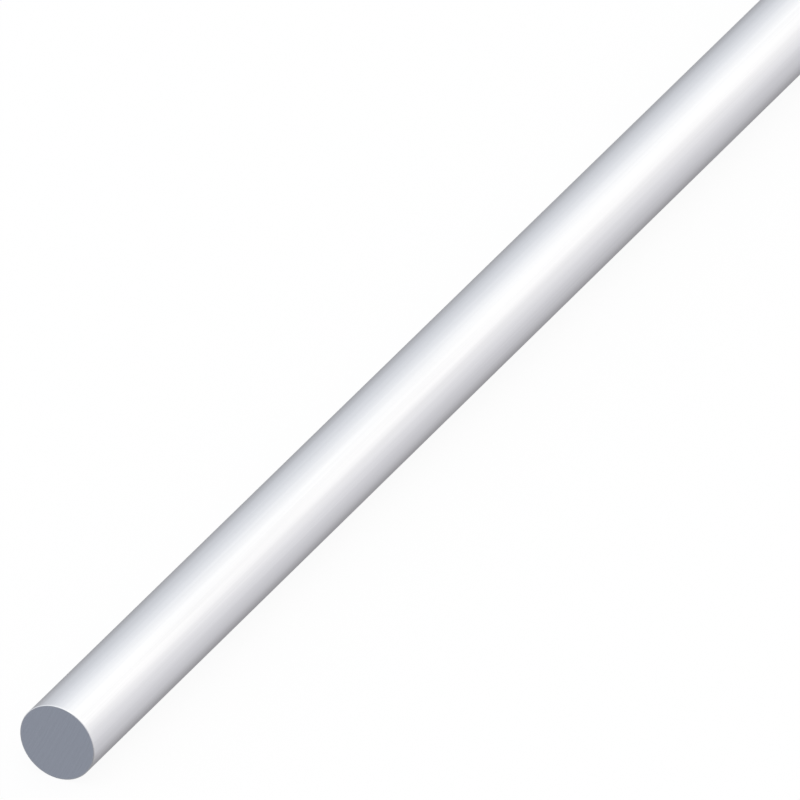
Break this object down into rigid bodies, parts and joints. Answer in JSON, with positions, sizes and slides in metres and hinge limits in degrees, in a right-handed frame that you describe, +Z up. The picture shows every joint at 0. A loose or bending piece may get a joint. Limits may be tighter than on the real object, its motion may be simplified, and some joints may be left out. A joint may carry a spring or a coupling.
{
  "type": "round metal bar",
  "caption": "Solid round metal bar stock, straight, cut square and deburred at both ends, for clamping, turning or use as a rod.",
  "frame": {"origin": "on the bar's axis, midway between its two cut faces", "axes": "+X along the bar's axis, +Y level across it, +Z up"},
  "size_m": [1, 0.02, 0.02],
  "materials": {
    "bar_metal": "bright drawn, faint lengthwise draw lines, fine-sawn deburred ends"
  },
  "bodies": {
    "root": {"round_bar": "bar_metal"}
  },
  "joints": []
}
